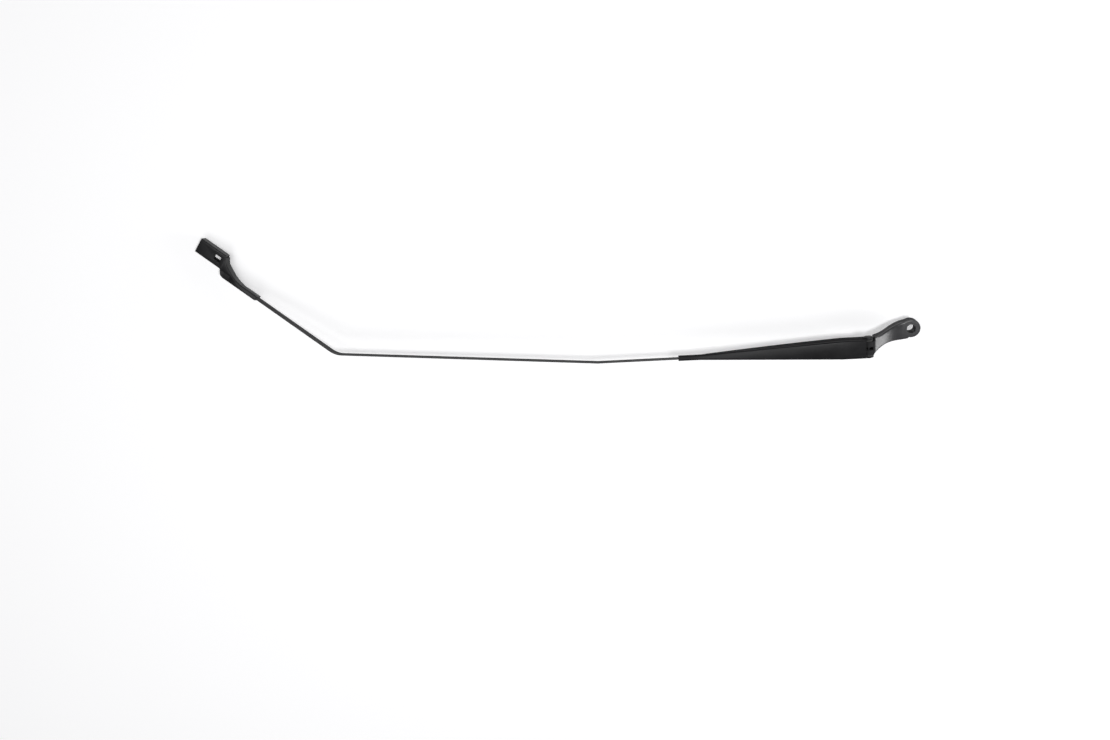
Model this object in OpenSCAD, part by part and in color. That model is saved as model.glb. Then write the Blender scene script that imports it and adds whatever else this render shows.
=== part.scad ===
// Wiper arm with a bent flat strip, a sprung folding head and an offset blade clip.
// Millimetres. Z is the spindle axis, with the outer side up. The arm runs along -X.
// The origin is on the spindle axis at the foot of the eye.

/* [Spindle eye] */
// Outer radius of the eye
eye_r = 10.4; // [9.5:0.1:12.5]
// Height of the eye along the spindle
eye_h = 14; // [11:0.5:16]
// Radius of the spindle bore
bore_r = 4.9; // [4:0.1:6]
// Bevel at the outer mouth of the bore and round the eye
eye_bevel = 0.9; // [0.4:0.1:1.4]

// Bevel round the eye's foot
foot_bevel = 1.4; // [0.6:0.1:2]

/* [Head] */
// Distance along the arm from the spindle to the hinge pin
hinge_reach = 49.3; // [46:0.1:60]
// Sideways distance from the spindle to the middle of the arm
arm_side = 17.4; // [15:0.1:20]
// Height of the hinge pin above the foot of the eye
pin_z = 22.5; // [20:0.5:26]
// Radius of the round knuckle that the hinge pin passes through
knuckle_r = 6.6; // [6:0.1:7]
// Drop from the hinge pin to the link pin
anchor_drop = 8.5; // [8:0.1:10]
// Distance that the link pin sits behind the hinge pin
anchor_back = 3.5; // [2.5:0.1:4.5]
// Radius of the casting round the link pin
lug_r = 5; // [4.4:0.1:5.6]
// Wall of the hollow casting
cast_wall = 3; // [2:0.1:3.6]

/* [Hinge] */
// Radius of the hinge pin
pin_r = 3; // [2.5:0.1:3.2]
// Radius of the riveted ends of the hinge pin
rivet_r = 4.3; // [3.8:0.1:5]
// Height of the riveted ends
rivet_h = 1.1; // [0.8:0.1:1.6]
// Wall of the bushes
bush_wall = 1.1; // [0.8:0.1:1.5]
// Thickness of the bush collars
collar_t = 0.8; // [0.5:0.1:1.2]
// Running clearance of the hinge, on the radius
pin_gap = 0.05; // [0.02:0.01:0.09]
// Side clearance between the collars and the channel walls
side_gap = 0.2; // [0.1:0.05:0.4]

/* [Channel] */
// Outer width of the channel at the hinge
channel_w = 22; // [20:0.1:24]
// Depth of the channel at the hinge
channel_h = 17; // [15.5:0.5:19]
// Height of the channel's top face above the hinge pin
top_rise = 8.5; // [8.2:0.1:9.5]
// Thickness of the channel's sheet
sheet = 1.6; // [1.2:0.1:2]
// Outer radius of the folds
fold_r = 2.6; // [2.2:0.1:3.2]
// Distance from the hinge pin to the rear edge of the top face
web_back = 3.8; // [3:0.1:5]
// Radius of the ears round the hinge pin
ear_r = 5.8; // [5:0.1:6.4]
// Length of the channel's full-width part, from the hinge pin
full_len = 30; // [24:1:50]
// Distance from the hinge pin to the start of the crimped neck
neck_start = 188.7; // [180:0.5:200]
// Length of the crimped neck
neck_len = 27.6; // [20:0.1:32]

/* [Bar] */
// Thickness of the strip
bar_t = 2.8; // [2.4:0.1:3.2]
// Height of the strip, which stands on edge
bar_h = 10; // [8.5:0.1:10.5]
// Lean of the strip off upright
bar_roll = 13; // [6:0.5:15]
// Distance from the spindle to the first bend
bend_one = 360; // [340:1:400]
// Turn of the first bend
turn_one = 4.6; // [2:0.1:8]
// Length from the first bend to the second
second_run = 319; // [280:1:340]
// Turn of the second bend
turn_two = 32.8; // [26:0.2:38]
// Length from the second bend to the end of the strip
third_run = 170.5; // [155:0.5:180]
// Inner radius of the bends
bend_r = 12; // [6:1:24]
// Sideways shift of the strip from the middle of the channel
bar_shift = 1.5; // [0:0.1:2]
// Clearance between the strip and the sheet crimped round it
crimp_gap = 0.08; // [0.04:0.01:0.15]
// Drop of the strip below the channel's inner face, for its lean
bar_drop = 0.6; // [0.4:0.1:1]

/* [Blade clip] */
// Sheet thickness of the clip
clip_t = 1.5; // [1.2:0.1:1.8]
// Length of the socket crimped on the strip
socket_len = 52; // [44:1:56]
// Length of the plate that the blade's adapter grips
plate_len = 38.2; // [28:0.2:42]
// Width of the plate
plate_w = 19; // [16:0.5:22]
// Depth of the plate's two flanges
flange_h = 10.4; // [8:0.2:12]
// Sideways distance from the middle of the strip to the near edge of the plate
plate_side = 4.9; // [4:0.1:8]
// Distance from the end of the socket to the plate
plate_ahead = 4; // [3.5:0.5:10]
// Height of the plate's near edge above the socket
plate_rise = 2.2; // [1:0.1:3.5]
// Roll of the plate against the strip
plate_roll = 10; // [4:0.5:14]
// Length of the locking window
window_len = 8.4; // [7:0.1:10]
// Width of the locking window
window_w = 7.3; // [6:0.1:9]
// Distance from the plate's rear end to the window
window_back = 4.7; // [2:0.1:6]

/* [Spring and link] */
// Radius of the spring wire
wire_r = 1; // [0.8:0.05:1.1]
// Radius of the coil, to the middle of the wire
coil_r = 3.4; // [3.1:0.1:3.5]
// Number of coil turns
coil_turns = 24; // [18:1:28]
// Distance from the hinge pin to the spring's hook hole in the strip
spring_reach = 97; // [90:1:104]
// Depth of the hook hole below the middle of the strip
hook_low = 1.8; // [1.2:0.1:2]
// Length of the link, between its pin and the spring's hook
link_len = 22; // [20.5:0.1:26]
// Thickness of the link's plate
link_t = 2.6; // [2.2:0.1:3.2]
// Width of the link's plate
link_w = 5; // [4.4:0.1:5.4]
// Radius of the link pin
link_pin_r = 2.4; // [2:0.1:2.6]
// Radius of the holes that the spring hooks into
hook_hole_r = 2; // [1.8:0.05:2.1]
// Radius of the link's end round the spring's hook
link_end_r = 3.4; // [3.2:0.1:3.6]
// Side clearance of the link in its slot
slot_gap = 0.5; // [0.3:0.1:0.8]
// Clearance between the link and the hinge pin
link_gap = 0.5; // [0.3:0.1:0.8]
// Turn of the arm from rest to fully lifted
lift = 80; // [60:1:80]

/* [Hidden] */

// Segments of a full circle on turned faces and on swept ones
round_fn = 64;
ring_fn = 8;
coil_fn = 10;
// Overlap of cuts past the faces they open
cut = 1;
// Clearance of parts held fast, and of the spring's hooks in their holes
fit_gap = 0.02;
hook_gap = 0.75;

paint = "#2b2c2e";
steel = "#9a9da0";
plastic = "#c9c6ba";
zinc = "#33353a";

// Widths across the hinge, from the sheet inwards
inner_w = channel_w - 2 * sheet;
knuckle_w = inner_w - 2 * (collar_t + side_gap);
slot_w = link_t + 2 * slot_gap;
bush_r = pin_r + pin_gap + bush_wall;
collar_r = ear_r - 0.6;

// The middle of the strip, under the channel's top face
bar_z = pin_z + top_rise - sheet - crimp_gap - bar_drop - bar_h / 2;
top_z = pin_z + top_rise;

// The link pin, the spring's hole and the angle of the line between them
anchor_x = anchor_back - hinge_reach;
anchor_z = pin_z - anchor_drop;
hole_x = -hinge_reach - spring_reach;
hole_z = bar_z - hook_low * cos(bar_roll);
hole_side = bar_shift + hook_low * sin(bar_roll);
pull_x = anchor_x - hole_x;
pull_z = hole_z - anchor_z;
pull_angle = atan(pull_z / pull_x);
pull_len = norm([pull_x, pull_z]);

// The hinge pin as the link sees it, at rest and with the arm lifted
pin_swing_r = norm([anchor_back, anchor_drop]);
rest_angle = atan(anchor_drop / anchor_back) - pull_angle;
rise_z = anchor_drop + spring_reach * sin(lift) + (hole_z - pin_z) * cos(lift);
lift_angle = atan2(rise_z, anchor_back + spring_reach * cos(lift)
    - (hole_z - pin_z) * sin(lift));
end_angle = rest_angle - (lift_angle - pull_angle);
claw_x = pin_swing_r * cos(end_angle);
claw_z = pin_swing_r * sin(end_angle);
claw_in = pin_r + link_gap + 0.2;
claw_out = claw_in + link_w;

// The strip's route in its own plane
slope_one = turn_one;
slope_two = turn_one + turn_two;
bend_two_x = bend_one + second_run * cos(slope_one);
bend_two_w = second_run * sin(slope_one);

// The socket and the plate, measured along the last run
socket_start = third_run + 2 - socket_len;
socket_end = third_run + 2;
plate_start = socket_end + plate_ahead;
socket_w = bar_t + 2 * (crimp_gap + clip_t);
socket_h = bar_h + 2 * (crimp_gap + clip_t);
socket_top = socket_h / 2;
plate_top = socket_top + plate_rise;

// Joins rings of points into one closed skin. A ring runs clockwise as seen from the first one,
// out along one side of the section and back along the other.
module skin(rings) {
    n = len(rings[0]);
    m = len(rings);
    sides = [
        for (k = [0 : m - 2], i = [0 : n - 1])
            let (a = k * n + i, b = k * n + (i + 1) % n)
            each [[a, a + n, b + n], [a, b + n, b]]
    ];
    end = (m - 1) * n;
    caps = [
        for (i = [0 : n / 2 - 2])
            let (j = n - 1 - i)
            each [[i, i + 1, j - 1], [i, j - 1, j], [end + j - 1, end + i + 1, end + i],
                [end + j, end + j - 1, end + i]]
    ];
    polyhedron([for (r = rings) each r], concat(sides, caps));
}

// A cylinder along Y, centred at the origin.
module rod_y(r, w) {
    rotate([90, 0, 0])
        cylinder(r = r, h = w, center = true, $fn = round_fn);
}

// Places children at the middle of the hinge pin.
module at_hinge() {
    translate([-hinge_reach, -arm_side, pin_z])
        children();
}

// Places children at the link pin, with -X along the spring.
module along_pull() {
    translate([anchor_x, -arm_side, anchor_z])
        rotate([0, pull_angle, 0])
            children();
}

// Places children in the leaning plane of the strip.
module in_bar_plane() {
    translate([0, -arm_side - bar_shift, bar_z])
        rotate([-bar_roll, 0, 0])
            children();
}

// Places children at the second bend, with -X along the last run.
module at_last_run() {
    in_bar_plane()
        translate([-bend_two_x, bend_two_w, 0])
            rotate([0, 0, -slope_two])
                children();
}

// Places children at the plate's near rear corner, with -X along the plate and Z out of it.
module at_plate() {
    at_last_run()
        translate([-plate_start, plate_side, plate_top])
            rotate([plate_roll, 0, 0])
                children();
}

// Gooseneck stations from the hinge to the eye: [x, left y, right y, top z, foot z, foot inset].
neck_half = knuckle_w / 2;
neck_rows = [
    [-hinge_reach + 1.5, neck_half - arm_side, -neck_half - arm_side, top_z - 3, anchor_z - 3, 0],
    [-hinge_reach + 5.3, neck_half - arm_side, -24.5, top_z - 3.3, anchor_z - 4, 0],
    [-hinge_reach + 7.8, -8.1, -21.7, top_z - 4.1, anchor_z - 3, -2.2],
    [-38.6, -5.6, -19.2, top_z - 4.6, 10.5, -1.2],
    [-34, -2.3, -16.2, top_z - 5.8, 9, 0.8],
    [-28.4, 1.3, -14, eye_h + 8.4, 6.5, 1.6],
    [-22.4, 3.9, -13.1, eye_h + 5.2, 3.5, 1.6],
    [-16.2, 6, -12.5, eye_h + 2.2, 1.5, 1.2],
    [-10, 7.4, -11.8, eye_h + 0.4, 0.6, 0.8],
    [-3, 8.4, -10.3, eye_h, 0.3, 0.6]
];

// One ring of the gooseneck, with rounded upper edges; inset shrinks it to the hollow inside.
function neck_ring(row, inset, roof, floor_drop) =
    let (edge = 1.6, bulge = 0.5, l = row[1] - inset, r = row[2] + inset, t = row[3] - roof)
    [
        [row[0], l - row[5], row[4] - floor_drop],
        [row[0], l, t - edge],
        [row[0], l - bulge, t - bulge],
        [row[0], l - edge, t],
        [row[0], r + edge, t],
        [row[0], r + bulge, t - bulge],
        [row[0], r, t - edge],
        [row[0], r + row[5], row[4] - floor_drop]
    ];

// Reach of the link's slot behind the hinge pin, above and below, and its room over the link
slot_back = 4.5;
slot_low_back = anchor_back + lug_r + 0.6;
slot_roof = 3.6;
slot_reach = 2 * link_len;

// The turned eye, with bevelled edges.
module eye_body() {
    rotate_extrude($fn = 2 * round_fn)
        polygon([
            [0, 0], [eye_r - foot_bevel, 0], [eye_r, foot_bevel], [eye_r, eye_h - eye_bevel],
            [eye_r - eye_bevel, eye_h], [0, eye_h]
        ]);
}

// The bore with its bevelled outer mouth.
module eye_bore() {
    translate([0, 0, -cut])
        cylinder(r = bore_r, h = eye_h + 2 * cut, $fn = 2 * round_fn);
    translate([0, 0, eye_h])
        rotate_extrude($fn = 2 * round_fn)
            polygon([[0, cut], [bore_r + eye_bevel + cut, cut], [bore_r, -eye_bevel], [0, -eye_bevel]]);
}

// The die-cast head: eye, hollow gooseneck and the two lugs of the knuckle.
module mounting_head() {
    color(zinc)
        difference() {
            union() {
                eye_body();
                skin([for (row = neck_rows) neck_ring(row, 0, 0, 0)]);
                at_hinge() {
                    rod_y(knuckle_r, knuckle_w);
                    translate([anchor_back, 0, -anchor_drop])
                        rod_y(lug_r, knuckle_w);
                    translate([anchor_back / 2, 0, -anchor_drop / 2])
                        cube([2 * lug_r, knuckle_w, anchor_drop], center = true);
                }
            }
            eye_bore();
            // the hollow under the gooseneck
            skin([for (i = [3 : 7]) neck_ring(neck_rows[i], cast_wall, cast_wall + 1, 8)]);
            at_hinge() {
                rod_y(bush_r + fit_gap, knuckle_w + 2 * cut);
                translate([anchor_back, 0, -anchor_drop])
                    rod_y(link_pin_r + fit_gap, knuckle_w + 2 * cut);
                // the slot that the link swings in
                translate([slot_low_back - slot_reach, -slot_w / 2, -slot_reach])
                    cube([slot_reach, slot_w, slot_reach + link_w / 2 - anchor_drop + slot_roof]);
                translate([slot_back - slot_reach, -slot_w / 2, -slot_reach])
                    cube([slot_reach, slot_w, 2 * slot_reach]);
            }
        }
}

// A collared bush; side is 1 for the near lug and -1 for the far one.
module bush(side) {
    shaft_w = (knuckle_w - slot_w) / 2;
    color(plastic)
        at_hinge()
            difference() {
                union() {
                    translate([0, side * (slot_w + shaft_w) / 2, 0])
                        rod_y(bush_r, shaft_w);
                    translate([0, side * (knuckle_w + collar_t) / 2, 0])
                        rod_y(collar_r, collar_t);
                }
                rod_y(pin_r + pin_gap, channel_w);
            }
}

module near_bush() {
    bush(-1);
}

module far_bush() {
    bush(1);
}

// The pin that the spring's link swings on.
module link_pin() {
    color(steel)
        at_hinge()
            translate([anchor_back, 0, -anchor_drop])
                rod_y(link_pin_r, knuckle_w);
}

// The hinge pin, riveted over the channel's ears.
module hinge_pin() {
    color(steel)
        at_hinge() {
            rod_y(pin_r, channel_w);
            for (side = [-1, 1])
                translate([0, side * channel_w / 2, 0])
                    rotate([-side * 90, 0, 0])
                        rotate_extrude($fn = round_fn)
                            polygon([
                                [0, 0], [rivet_r, 0], [rivet_r, rivet_h * 0.4],
                                [rivet_r * 0.7, rivet_h], [0, rivet_h]
                            ]);
        }
}

// Points of a quarter fold, from one angle to another.
function fold(y, z, r, a, b) = [for (k = [0 : 4]) [y + r * cos(a + (b - a) * k / 4),
    z + r * sin(a + (b - a) * k / 4)]];

// The outline of the channel's section, clockwise from its lower left foot, top face at zero.
function channel_outline(w, d, f) =
    let (h = w / 2, g = f - sheet)
    concat(
        [[-h, -d]], fold(f - h, -f, f, 180, 90), fold(h - f, -f, f, 90, 0), [[h, -d]],
        [[h - sheet, -d]], fold(h - sheet - g, -sheet - g, g, 0, 90),
        fold(g + sheet - h, -sheet - g, g, 90, 180), [[sheet - h, -d]]
    );

// A station's section at x; k runs from 0 on the full width to 1 at the neck.
function channel_ring(x, w, d, k) =
    let (
        roll = bar_roll * k * k,
        f = fold_r - (fold_r - sheet - 0.4) * k * k,
        drop = (bar_drop - crimp_step / 2) * k * k,
        shift = arm_side + bar_shift * k * k
    )
    [for (p = channel_outline(w, d, f))
        let (z = p[1] + top_z - bar_z - drop)
        [x, p[0] * cos(roll) + z * sin(roll) - shift, z * cos(roll) - p[0] * sin(roll) + bar_z]];

neck_w = bar_t + 2 * (crimp_gap + sheet);
neck_h = bar_h + 2 * (crimp_gap + sheet);
taper_x = hinge_reach + full_len;
neck_x = hinge_reach + neck_start;

// Channel stations: [x, width, depth, share of the taper]. The step is where the crimp begins.
crimp_step = 0.3;
crimp_lap = 0.9;
end_w = neck_w + crimp_step;
end_h = neck_h - 0.4;
function taper(k) = (neck_x - taper_x) * k + taper_x;
channel_rows = [
    [-hinge_reach - web_back, channel_w, channel_h, 0],
    [-taper_x + 6, channel_w, channel_h, 0],
    [-taper_x, channel_w - 0.2, channel_h, 0],
    [-taper_x - 6, channel_w - 0.8, channel_h, 0],
    for (k = [0.3, 0.5, 0.65, 0.8, 0.9])
        [-taper(k), channel_w - (channel_w - end_w) * k, channel_h - (channel_h - end_h) * k, k],
    [-neck_x, end_w, end_h, 1],
    [-neck_x - 2, end_w, end_h, 1]
];

// Where a tangent from point p meets a circle of radius r about the origin.
function tangent(p, r, side) =
    let (a = atan2(p[1], p[0]) + side * acos(r / norm(p)))
    [r * cos(a), r * sin(a)];

// The side view of one ear, about the hinge pin.
module ear_shape() {
    high = [-web_back, top_rise - fold_r];
    low = [-web_back - 2, top_rise - channel_h + 0.1];
    circle(r = ear_r, $fn = round_fn);
    polygon([
        [-web_back - cut, low[1]], low, tangent(low, ear_r, 1), [0, 0],
        tangent(high, ear_r, -1), high, [-web_back - cut, high[1]]
    ]);
}

// The crimped end of a sheet folded round the strip, with its seam underneath.
module crimp(len, w, h, wall) {
    corner = wall * 0.9;
    difference() {
        rotate([90, 0, 90])
            linear_extrude(len, center = true)
                difference() {
                    union() {
                        square([w - 2 * corner, h], center = true);
                        square([w, h - 2 * corner], center = true);
                        for (a = [-1, 1], b = [-1, 1])
                            translate([a * (w / 2 - corner), b * (h / 2 - corner)])
                                circle(r = corner, $fn = round_fn);
                    }
                    square([w - 2 * wall, h - 2 * wall], center = true);
                    translate([0, -h / 2])
                        square([0.8, 2 * wall + 0.4], center = true);
                }
    }
}

// The pressed channel that covers the spring, crimped round the strip at its front.
module retainer() {
    color(paint)
        difference() {
            union() {
                skin([for (row = channel_rows) channel_ring(row[0], row[1], row[2], row[3])]);
                in_bar_plane()
                    translate([-neck_x - (neck_len + crimp_lap) / 2, 0, 0])
                        crimp(neck_len - crimp_lap, neck_w, neck_h, sheet);
                for (side = [-1, 1])
                    at_hinge()
                        translate([0, side * (channel_w - sheet) / 2, 0])
                            rotate([90, 0, 0])
                                linear_extrude(sheet - 0.1, center = true)
                                    ear_shape();
            }
            at_hinge()
                rod_y(pin_r + fit_gap, channel_w + 2 * cut);
        }
}

// Points of a bend of radius r about a corner, on one side of the strip.
function bend(cx, cw, r, a, b) = [for (k = [0 : 8]) [cx - r * sin(a + (b - a) * k / 8),
    cw - r * cos(a + (b - a) * k / 8)]];

// Centre of the bend that joins two runs at a corner.
function bend_centre(x, w, a, b) =
    let (r = bend_r + bar_t / 2, m = (a + b) / 2, d = r / cos((b - a) / 2))
    [x + d * sin(m), w + d * cos(m)];

centre_one = bend_centre(-bend_one, 0, 0, slope_one);
centre_two = bend_centre(-bend_two_x, bend_two_w, slope_one, slope_two);

// Length of the strip behind the spring's hook
bar_tail = 3.6;

// The flat strip, bent twice on edge.
module arm_bar() {
    tail = -hole_x - bar_tail;
    tip = [-bend_two_x - third_run * cos(slope_two), bend_two_w + third_run * sin(slope_two)];
    side = [sin(slope_two), cos(slope_two)] * bar_t / 2;
    outer = bend_r + bar_t;
    color(paint)
        in_bar_plane()
            difference() {
                linear_extrude(bar_h, center = true)
                    polygon(concat(
                        [[-tail, bar_t / 2]],
                        bend(centre_one[0], centre_one[1], bend_r, 0, slope_one),
                        bend(centre_two[0], centre_two[1], bend_r, slope_one, slope_two),
                        [tip + side, tip - side],
                        bend(centre_two[0], centre_two[1], outer, slope_two, slope_one),
                        bend(centre_one[0], centre_one[1], outer, slope_one, 0),
                        [[-tail, -bar_t / 2]]
                    ));
                // the hole for the spring's front hook
                translate([hole_x - hook_hole_r + wire_r + hook_gap, 0, -hook_low])
                    rod_y(hook_hole_r, bar_t + 2 * cut);
            }
}

// Shoulder stations from the plate to the socket:
// [along, near edge, rise of the ridge, far edge's share of the way out, wall depth].
plate_far = plate_side + plate_w * cos(plate_roll);
half_w = socket_w / 2;
shoulder_rows = [
    [plate_start + 0.3, plate_side + 0.2, 1, 0.78, flange_h],
    [socket_end, -half_w, 1, 0.57, flange_h],
    [socket_end - 7, -half_w, 1, 0.37, flange_h],
    [socket_end - 14, -half_w, 0.7, 0.2, flange_h],
    [socket_end - 21, -half_w, 0.3, 0.08, socket_h - 1],
    [socket_end - 29, -half_w, 0.05, 0.02, socket_h - 1]
];

// One ring of the shoulder: near edge, ridge and far edge of the sheet, and a wall down from there.
function shoulder_ring(row) =
    let (
        far = half_w + 0.1 + (plate_far - half_w) * row[3],
        ridge = min(plate_side + 0.3, far - clip_t - 0.4),
        ridge_z = socket_top + 0.15 + (plate_rise - 0.15) * row[2],
        lean = plate_roll * row[2],
        near_z = row[1] > 0 ? plate_top : socket_top + 0.15,
        far_z = ridge_z + (far - ridge) * tan(lean),
        foot = [far + row[4] * sin(lean), far_z - row[4] * cos(lean)]
    )
    [
        [-row[0], row[1], near_z],
        [-row[0], max(ridge, row[1] + 0.3), ridge_z],
        [-row[0], far, far_z],
        [-row[0], foot[0], foot[1]],
        [-row[0], foot[0] - clip_t, foot[1]],
        [-row[0], far - clip_t, far_z - clip_t],
        [-row[0], max(ridge, row[1] + 0.3), ridge_z - clip_t],
        [-row[0], row[1], near_z - clip_t]
    ];

// The clip at the arm's end: a flanged plate with a window, beside a socket crimped on the strip.
module blade_clip() {
    color(paint) {
        at_last_run() {
            translate([-(socket_start + socket_end) / 2, 0, 0])
                crimp(socket_len, socket_w, socket_h, clip_t);
            skin([for (i = [len(shoulder_rows) - 1 : -1 : 0]) shoulder_ring(shoulder_rows[i])]);
        }
        at_plate()
            difference() {
                translate([-plate_len, 0, -flange_h])
                    cube([plate_len, plate_w, flange_h]);
                translate([-plate_len - cut, clip_t, -flange_h - cut])
                    cube([plate_len + 2 * cut, plate_w - 2 * clip_t, flange_h + cut - clip_t]);
                translate([-window_back - window_len, (plate_w - window_w) / 2, -clip_t - cut])
                    cube([window_len, window_w, clip_t + 2 * cut]);
            }
    }
}

// The link's outline: its eye, the claw that passes round the hinge pin and the arm to the spring.
module link_shape() {
    reach = 3 * link_len;
    difference() {
        union() {
            circle(r = lug_r - 0.2, $fn = round_fn);
            intersection() {
                translate([-claw_x, claw_z])
                    circle(r = claw_out, $fn = round_fn);
                translate([-reach, -reach])
                    square([reach, reach + link_w / 2]);
            }
            translate([-link_len, -link_w / 2])
                square([link_len - claw_x - claw_in, link_w]);
            translate([-link_len, 0])
                circle(r = link_end_r, $fn = round_fn);
        }
        circle(r = link_pin_r + pin_gap, $fn = round_fn);
        translate([-claw_x, claw_z])
            circle(r = claw_in, $fn = round_fn);
        // the path that the hinge pin takes past the link
        difference() {
            intersection() {
                circle(r = pin_swing_r + pin_r + link_gap, $fn = round_fn);
                polygon([
                    [0, 0], reach * [-cos(end_angle), sin(end_angle)], [-reach, reach], [0, reach]
                ]);
            }
            circle(r = pin_swing_r - pin_r - link_gap, $fn = round_fn);
        }
        translate([-link_len + hook_hole_r - wire_r - hook_gap, 0])
            circle(r = hook_hole_r, $fn = round_fn);
    }
}

// The hooked link between the spring and the head.
module spring_link() {
    color(steel)
        along_pull()
            rotate([90, 0, 0])
                linear_extrude(link_t, center = true)
                    link_shape();
}

// The spring's own line, from the link's hole to the strip's.
hook_bend = 1.5;
hook_r = coil_r;
spring_len = norm([pull_len - link_len, hole_side]);
body_len = spring_len - 2 * (hook_bend + hook_r);
start_turn = asin(hook_bend / coil_r);
coil_angle = 360 * coil_turns - 2 * start_turn;

// Points of one hook, from its free end to the coil: [along, across, up].
function hook_points() = concat(
    [for (a = [-90 : 18 : 90]) [hook_r - hook_r * cos(a), hook_r * sin(a), 0]],
    [for (a = [30, 60]) [hook_r + hook_bend * sin(a), hook_r + 0.1, -hook_bend * (1 - cos(a))]]
);

// The whole line of the wire.
function wire_points() =
    let (
        rear = hook_points(),
        steps = ceil(coil_angle / 360 * coil_fn),
        coil = [
            for (k = [0 : steps])
                let (a = -start_turn - coil_angle * k / steps)
                [hook_bend + hook_r + body_len * k / steps, coil_r * cos(a), coil_r * sin(a)]
        ]
    )
    concat(
        rear,
        coil,
        [for (i = [len(rear) - 1 : -1 : 0]) [spring_len - rear[i][0], rear[i][1], -rear[i][2]]]
    );

function unit(v) = v / norm(v);

// Sweeps a round wire along points, carrying its frame from one to the next.
module wire(points, r) {
    m = len(points);
    ways = [
        for (i = [0 : m - 1])
            unit(points[min(i + 1, m - 1)] - points[max(i - 1, 0)])
    ];
    normals = [
        for (i = 0, n = unit(cross(ways[0], [0, 0, 1])); i < m;
            i = i + 1, n = i < m ? unit(n - (n * ways[i]) * ways[i]) : n)
            n
    ];
    skin([
        for (i = [0 : m - 1])
            let (u = normals[i], v = cross(ways[i], u))
            [for (k = [0 : ring_fn - 1])
                points[i] + r * (u * cos(360 * k / ring_fn) + v * sin(360 * k / ring_fn))]
    ]);
}

// The tension spring between the link and the strip.
module tension_spring() {
    color(steel)
        along_pull()
            translate([-link_len, 0, 0])
                rotate([0, 0, 180 + atan(hole_side / (pull_len - link_len))])
                    wire(wire_points(), wire_r);
}

mounting_head();
near_bush();
far_bush();
link_pin();
hinge_pin();
retainer();
arm_bar();
blade_clip();
spring_link();
tension_spring();
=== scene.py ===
# %% [markdown]
# # A wiper arm in satin black
# The arm is a chain of pressed and cast parts: a die-cast head on the spindle, a folded steel
# channel that hides a spring, a flat strip bent on edge, and a clip for the blade.
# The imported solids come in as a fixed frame. Each piece made here stands where its solid stands.

# %% Load the frame
import math

import bmesh
import bpy
from mathutils import Matrix, Vector


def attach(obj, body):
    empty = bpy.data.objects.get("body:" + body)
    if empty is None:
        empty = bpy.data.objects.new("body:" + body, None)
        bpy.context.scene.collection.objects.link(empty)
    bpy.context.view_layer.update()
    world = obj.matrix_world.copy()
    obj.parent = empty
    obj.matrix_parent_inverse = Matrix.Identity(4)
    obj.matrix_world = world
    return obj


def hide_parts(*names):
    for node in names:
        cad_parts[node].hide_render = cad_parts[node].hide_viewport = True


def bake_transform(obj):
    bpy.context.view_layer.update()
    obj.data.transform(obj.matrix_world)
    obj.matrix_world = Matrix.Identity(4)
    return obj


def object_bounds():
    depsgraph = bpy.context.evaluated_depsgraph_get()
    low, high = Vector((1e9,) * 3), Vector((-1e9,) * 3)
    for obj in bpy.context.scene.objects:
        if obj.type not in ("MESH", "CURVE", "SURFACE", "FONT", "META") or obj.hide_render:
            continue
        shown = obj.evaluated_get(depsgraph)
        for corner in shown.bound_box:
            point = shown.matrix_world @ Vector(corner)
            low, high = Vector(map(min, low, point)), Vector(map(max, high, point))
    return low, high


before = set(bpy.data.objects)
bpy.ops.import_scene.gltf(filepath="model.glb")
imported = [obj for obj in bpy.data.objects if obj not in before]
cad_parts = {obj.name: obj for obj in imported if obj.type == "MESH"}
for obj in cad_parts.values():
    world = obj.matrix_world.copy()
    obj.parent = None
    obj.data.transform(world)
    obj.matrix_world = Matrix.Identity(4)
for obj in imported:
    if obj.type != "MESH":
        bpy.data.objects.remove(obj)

cad_low, cad_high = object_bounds()
print("CAD box, mm:", [round(v * 1000, 1) for v in (*cad_low, *cad_high)])

# %% [markdown]
# ## Working in millimetres
# A maker thinks of these parts in millimetres, so each piece is modelled at one unit to the
# millimetre, in the frame that suits it. At the end it is shrunk to metres, turned into place,
# and the move is applied, so that its object sits at the origin like the solids.

# %% Frames of the arm, in millimetres
HINGE = Vector((-49.3, -17.4, 22.5))
EYE_HEIGHT = 14.0
TOP = 31.0
STRIP_Y, STRIP_Z = -18.9, 23.72
LEAN = math.radians(13)
BEND_ONE, RUN_TWO, RUN_THREE = 360.0, 319.0, 170.5
TURN_ONE, TURN_TWO = math.radians(4.6), math.radians(32.8)

in_place = Matrix.Identity(4)
in_plane = Matrix.Translation((0, STRIP_Y, STRIP_Z)) @ Matrix.Rotation(-LEAN, 4, "X")
second_corner = (-BEND_ONE - RUN_TWO * math.cos(TURN_ONE), RUN_TWO * math.sin(TURN_ONE), 0)
on_last_run = (in_plane @ Matrix.Translation(second_corner)
               @ Matrix.Rotation(-TURN_ONE - TURN_TWO, 4, "Z"))
print("strip's far end, mm:", [round(v, 1) for v in on_last_run @ Vector((-RUN_THREE, 0, 0))])


# %% Small helpers for working on one piece
def only(piece):
    """Selects one piece and nothing else."""
    bpy.ops.object.select_all(action="DESELECT")
    piece.select_set(True)
    bpy.context.view_layer.objects.active = piece


def start(name, add, **kind):
    """Adds a primitive, names it and goes into edit mode on it."""
    bpy.ops.object.select_all(action="DESELECT")
    add(**kind)
    piece = bpy.context.active_object
    piece.name = name
    only(piece)
    bpy.ops.object.transform_apply(location=True, rotation=True, scale=True)
    bpy.ops.object.mode_set(mode="EDIT")
    return piece


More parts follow.
